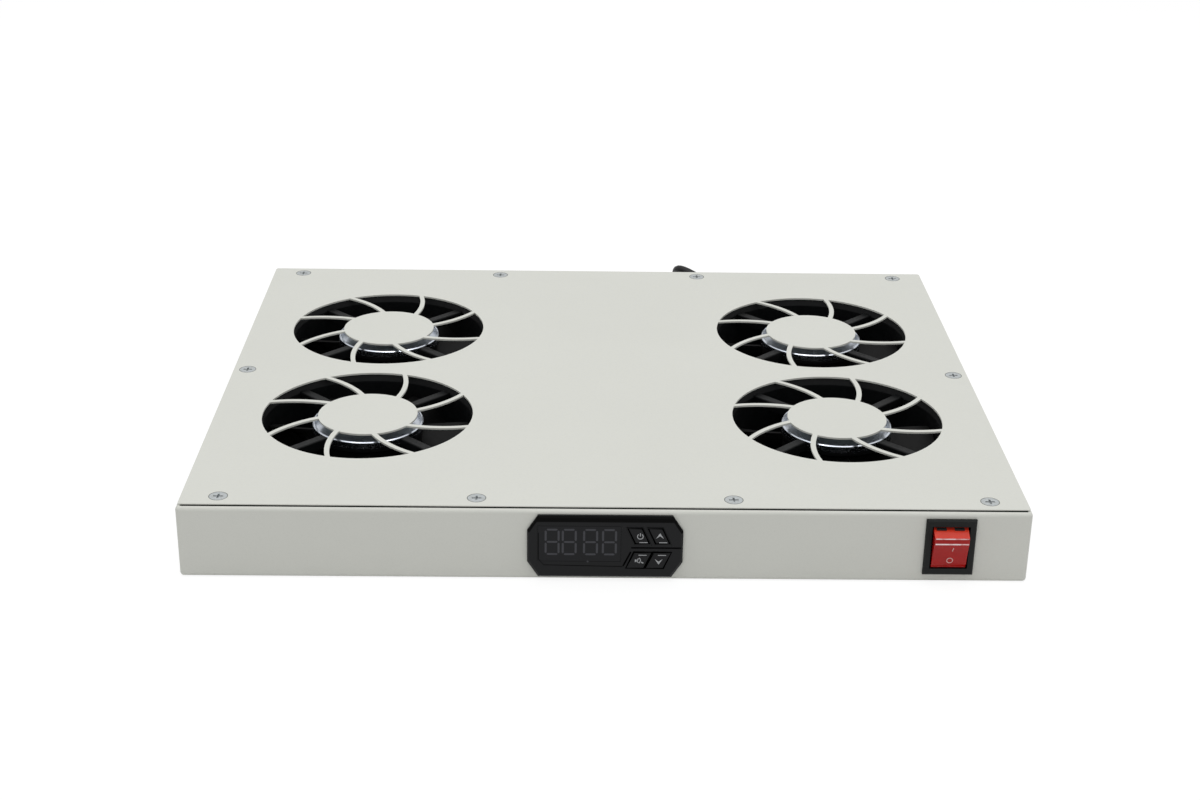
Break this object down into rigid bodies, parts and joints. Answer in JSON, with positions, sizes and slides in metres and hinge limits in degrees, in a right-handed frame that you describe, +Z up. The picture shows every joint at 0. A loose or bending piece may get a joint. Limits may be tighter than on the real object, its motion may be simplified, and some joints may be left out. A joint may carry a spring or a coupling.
{
  "type": "rack fan tray",
  "caption": "Flat sheet-steel rack tray with guarded axial fans under punched finger guards, a front temperature controller, a lit rocker switch and a mains lead.",
  "frame": {"origin": "centre of the underside, on the surface that the tray stands on, midway between the front and rear walls and between the side walls", "axes": "+X to the right seen from the front, +Y from the front panel to the rear wall, +Z up through the fans"},
  "size_m": [0.43, 0.4522, 0.04],
  "materials": {
    "grey_powder_coat": "light grey textured powder coat",
    "zinc_steel": "zinc plated",
    "fan_black_casting": "black coated aluminium casting",
    "plated_steel": "bright plated pressing",
    "ground_steel": "ground",
    "motor_core": "laminations with varnished winding",
    "fan_black_plastic": "matt black",
    "controller_black": "satin black",
    "smoked_window": "smoked acrylic",
    "display_black": "matt black with grey segments",
    "circuit_board": "green solder mask",
    "clip_plastic": "natural nylon",
    "terminal_plastic": "green moulding",
    "switch_black": "satin black",
    "rocker_red": "translucent red",
    "brass_contacts": "bright",
    "cable_pvc": "satin black sheath",
    "probe_sheath": "drawn",
    "black_nylon": "moulded",
    "tie_plastic": "hook and loop strap",
    "plug_pvc": "moulded"
  },
  "bodies": {
    "chassis": {"base_tray": "grey_powder_coat", "controller_board": "circuit_board", "controller_clips": "clip_plastic", "controller_display": "display_black", "controller_front": "controller_black", "controller_housing": "controller_black", "controller_terminals": "terminal_plastic", "controller_window": "smoked_window", "cord_hank": "cable_pvc", "cord_tie": "tie_plastic", "cover_screws": "zinc_steel", "earth_nut": "zinc_steel", "earth_stud": "zinc_steel", "fan_bearings_front_left": "ground_steel", "fan_bearings_front_right": "ground_steel", "fan_bearings_rear_left": "ground_steel", "fan_bearings_rear_right": "ground_steel", "fan_frame_front_left": "fan_black_casting", "fan_frame_front_right": "fan_black_casting", "fan_frame_rear_left": "fan_black_casting", "fan_frame_rear_right": "fan_black_casting", "fan_motor_cup_front_left": "plated_steel", "fan_motor_cup_front_right": "plated_steel", "fan_motor_cup_rear_left": "plated_steel", "fan_motor_cup_rear_right": "plated_steel", "fan_nuts": "zinc_steel", "fan_stator_front_left": "motor_core", "fan_stator_front_right": "motor_core", "fan_stator_rear_left": "motor_core", "fan_stator_rear_right": "motor_core", "fan_studs": "zinc_steel", "inner_lead": "cable_pvc", "inside_wiring": "cable_pvc", "mains_cord": "cable_pvc", "plug_body": "plug_pvc", "plug_pins": "brass_contacts", "probe_clip": "clip_plastic", "strain_relief": "black_nylon", "switch_housing": "switch_black", "switch_tabs": "brass_contacts", "temperature_probe": "probe_sheath", "terminal_block": "terminal_plastic", "top_cover": "grey_powder_coat", "weld_nuts": "zinc_steel"},
    "rocker": {"switch_rocker": "rocker_red"},
    "fan_rotor_front_left": {"fan_impeller_front_left": "fan_black_plastic", "fan_shaft_front_left": "ground_steel"},
    "fan_rotor_front_right": {"fan_impeller_front_right": "fan_black_plastic", "fan_shaft_front_right": "ground_steel"},
    "fan_rotor_rear_left": {"fan_impeller_rear_left": "fan_black_plastic", "fan_shaft_rear_left": "ground_steel"},
    "fan_rotor_rear_right": {"fan_impeller_rear_right": "fan_black_plastic", "fan_shaft_rear_right": "ground_steel"},
    "key_power": {"key_power": "controller_black"},
    "key_up": {"key_up": "controller_black"},
    "key_mute": {"key_mute": "controller_black"},
    "key_down": {"key_down": "controller_black"}
  },
  "joints": [
    {"name": "fan_spin_front_left", "type": "hinge", "parent": "chassis", "child": "fan_rotor_front_left", "pos_m": [-0.13, -0.0605, 0.016], "axis": [0, 0, 1], "continuous": true},
    {"name": "fan_spin_front_right", "type": "hinge", "parent": "chassis", "child": "fan_rotor_front_right", "pos_m": [0.13, -0.0605, 0.016], "axis": [0, 0, 1], "continuous": true},
    {"name": "fan_spin_rear_left", "type": "hinge", "parent": "chassis", "child": "fan_rotor_rear_left", "pos_m": [-0.13, 0.0695, 0.016], "axis": [0, 0, 1], "continuous": true},
    {"name": "fan_spin_rear_right", "type": "hinge", "parent": "chassis", "child": "fan_rotor_rear_right", "pos_m": [0.13, 0.0695, 0.016], "axis": [0, 0, 1], "continuous": true},
    {"name": "rocker_tip", "type": "hinge", "parent": "chassis", "child": "rocker", "pos_m": [0.174, -0.1713, 0.0203], "axis": [-1, 0, 0], "range_deg": [0, 30]},
    {"name": "key_power_press", "type": "slide", "parent": "chassis", "child": "key_power", "axis": [0, 1, 0], "range_m": [0, 0.0005], "stiffness_N_per_m": 600, "springref_m": -0.0005},
    {"name": "key_up_press", "type": "slide", "parent": "chassis", "child": "key_up", "axis": [0, 1, 0], "range_m": [0, 0.0005], "stiffness_N_per_m": 600, "springref_m": -0.0005},
    {"name": "key_mute_press", "type": "slide", "parent": "chassis", "child": "key_mute", "axis": [0, 1, 0], "range_m": [0, 0.0005], "stiffness_N_per_m": 600, "springref_m": -0.0005},
    {"name": "key_down_press", "type": "slide", "parent": "chassis", "child": "key_down", "axis": [0, 1, 0], "range_m": [0, 0.0005], "stiffness_N_per_m": 600, "springref_m": -0.0005}
  ]
}
